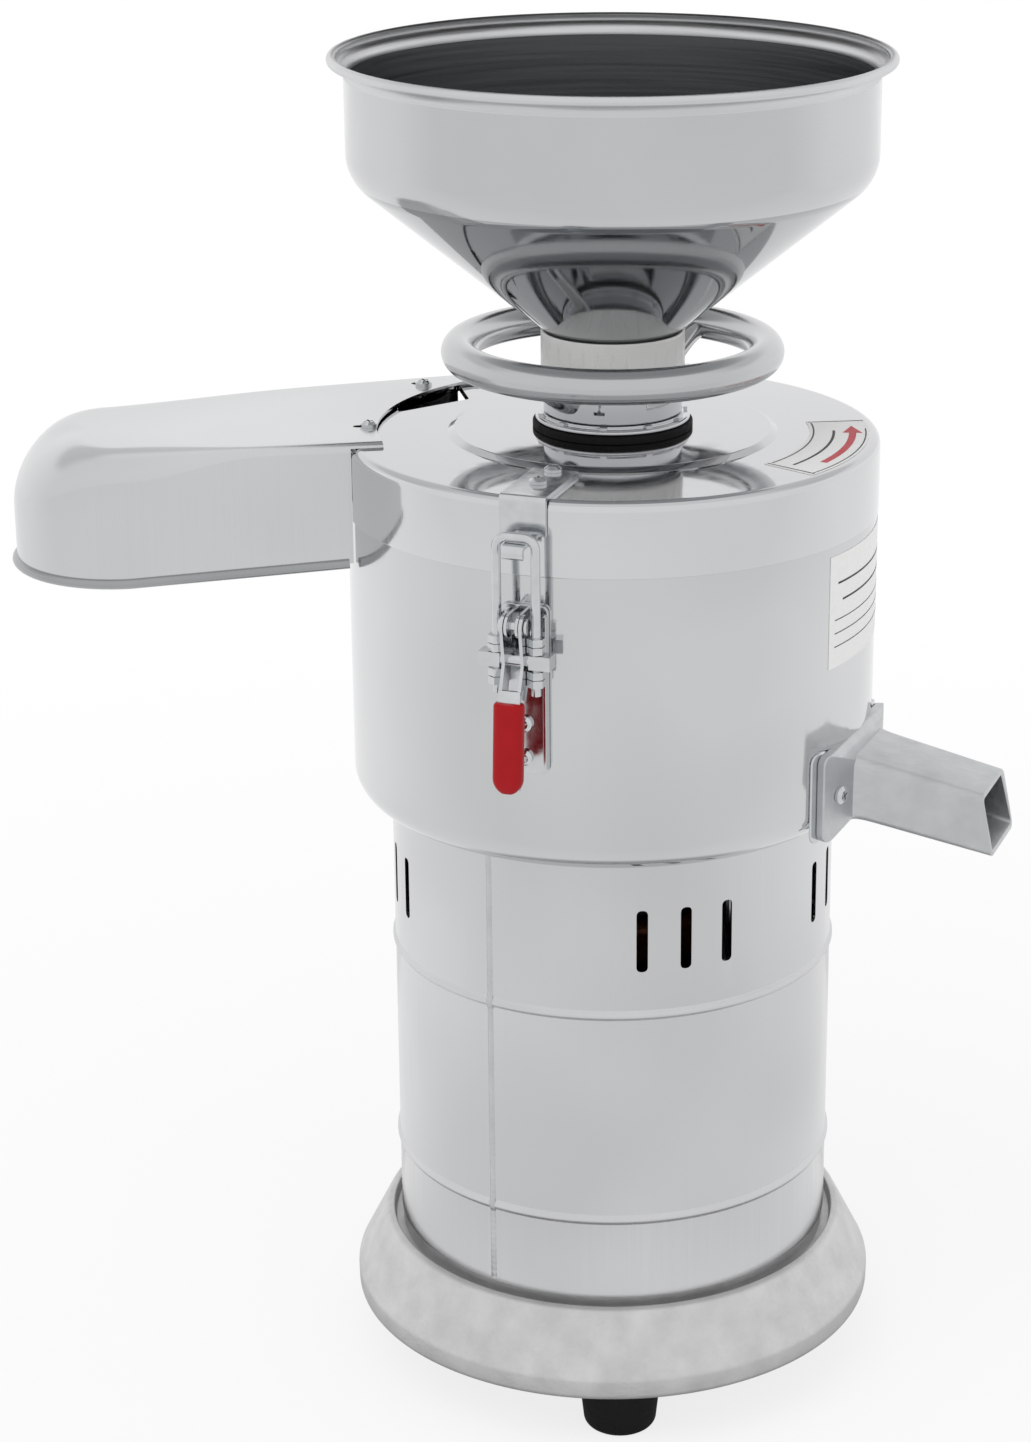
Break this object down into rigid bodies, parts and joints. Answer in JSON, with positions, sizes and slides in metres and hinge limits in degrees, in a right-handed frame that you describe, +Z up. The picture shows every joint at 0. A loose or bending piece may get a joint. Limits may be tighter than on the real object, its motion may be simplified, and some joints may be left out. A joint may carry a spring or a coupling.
{
  "type": "nut butter grinder",
  "caption": "Upright motor-driven wet grinder with a feed hopper, a gap-adjusting handwheel, a clamped lid, a residue hood and a milk spout.",
  "frame": {"origin": "on the motor's vertical axis, at the level that the rubber feet stand on", "axes": "+Z up along the motor shaft, -Y towards the front, where one foot stands; +X right, on the milk spout's side, with the residue hood on -X"},
  "size_m": [0.4422, 0.2748, 0.605],
  "materials": {
    "cast_aluminium": "sand-cast, rough",
    "polished_steel": "polished stainless sheet",
    "satin_steel": "satin stainless sheet",
    "cast_fittings": "machined and blasted casting",
    "zinc_steel": "zinc plated",
    "black_rubber": "matte",
    "black_plastic": "satin",
    "red_vinyl": "dipped, soft sheen",
    "red_plastic": "gloss",
    "white_nylon": "turned, translucent",
    "label_white": "printed film",
    "electrical_steel": "stacked laminations",
    "copper_wire": "enamelled winding wire",
    "shaft_steel": "ground",
    "grinding_stone": "bonded grit",
    "gasket_rubber": "matte",
    "cream_plastic": "moulded"
  },
  "bodies": {
    "root": {"base_casting": "cast_aluminium", "foot_front": "black_rubber", "foot_right": "black_rubber", "foot_left": "black_rubber", "foot_screws": "zinc_steel", "motor_jacket": "polished_steel", "cable_gland": "black_plastic", "switch_housing": "black_plastic", "bearing_flange": "cast_fittings", "stator_core": "electrical_steel", "stator_windings": "copper_wire", "spacer_sleeves": "zinc_steel", "tie_bolts": "zinc_steel", "lower_bearing": "shaft_steel", "upper_bearing": "shaft_steel", "run_capacitor": "cream_plastic", "terminal_block": "cream_plastic", "shaft_seal": "black_rubber", "drum": "polished_steel", "milk_spout": "cast_fittings", "spout_gasket": "gasket_rubber", "spout_screws": "zinc_steel", "lid": "polished_steel", "lid_gasket": "gasket_rubber", "lid_boss": "cast_fittings", "guide_pins": "shaft_steel", "residue_hood": "polished_steel", "hood_screws": "zinc_steel", "neck_seal": "black_rubber", "front_latch_plate": "zinc_steel", "front_hook": "zinc_steel", "rear_latch_plate": "zinc_steel", "rear_hook": "zinc_steel", "latch_screws": "zinc_steel", "lid_label": "label_white", "drum_label": "label_white"},
    "rotor": {"rotor_core": "electrical_steel", "motor_shaft": "shaft_steel", "cooling_fan": "black_plastic", "slinger_ring": "black_rubber", "strainer_basket": "satin_steel", "lower_stone": "grinding_stone", "stone_nut": "zinc_steel"},
    "carrier": {"upper_stone": "grinding_stone", "stone_holder": "cast_fittings", "feed_tube": "satin_steel", "nylon_collar": "white_nylon"},
    "handwheel": {"threaded_sleeve": "polished_steel", "handwheel": "polished_steel"},
    "hopper": {"hopper": "satin_steel"},
    "switch": {"switch_rocker": "red_plastic"},
    "front_lever": {"front_lever": "zinc_steel", "front_grip": "red_vinyl"},
    "front_bail": {"front_bail": "zinc_steel"},
    "rear_lever": {"rear_lever": "zinc_steel", "rear_grip": "red_vinyl"},
    "rear_bail": {"rear_bail": "zinc_steel"}
  },
  "joints": [
    {"name": "rotor_spin", "type": "hinge", "parent": "root", "child": "rotor", "pos_m": [0, 0, 0.165], "axis": [0, 0, 1], "continuous": true},
    {"name": "carrier_lift", "type": "slide", "parent": "root", "child": "carrier", "axis": [0, 0, 1], "range_m": [0, 0.0061]},
    {"name": "handwheel_turn", "type": "hinge", "parent": "carrier", "child": "handwheel", "pos_m": [0, 0, 0.4766], "axis": [0, 0, 1], "range_deg": [0, 540]},
    {"name": "hopper_lift", "type": "slide", "parent": "carrier", "child": "hopper", "axis": [0, 0, 1], "range_m": [0, 0.06]},
    {"name": "switch_rock", "type": "hinge", "parent": "root", "child": "switch", "pos_m": [0, 0.092, 0.1472], "axis": [1, 0, 0], "range_deg": [0, 12]},
    {"name": "front_latch_lever", "type": "hinge", "parent": "root", "child": "front_lever", "pos_m": [-0.04017, -0.12364, 0.391], "axis": [-0.9511, 0.309, 0], "range_deg": [0, 150]},
    {"name": "front_latch_bail", "type": "hinge", "parent": "front_lever", "child": "front_bail", "pos_m": [-0.0394, -0.12126, 0.376], "axis": [-0.9511, 0.309, 0], "range_deg": [-150, 0]},
    {"name": "rear_latch_lever", "type": "hinge", "parent": "root", "child": "rear_lever", "pos_m": [0.04017, 0.12364, 0.391], "axis": [0.9511, -0.309, 0], "range_deg": [0, 150]},
    {"name": "rear_latch_bail", "type": "hinge", "parent": "rear_lever", "child": "rear_bail", "pos_m": [0.0394, 0.12126, 0.376], "axis": [0.9511, -0.309, 0], "range_deg": [-150, 0]}
  ],
  "couplings": [
    {"joint": "carrier_lift", "follows": "handwheel_turn", "m_per_rad": 0.00063662},
    {"joint": "front_latch_bail", "follows": "front_latch_lever", "ratio": -1},
    {"joint": "rear_latch_bail", "follows": "rear_latch_lever", "ratio": -1}
  ]
}
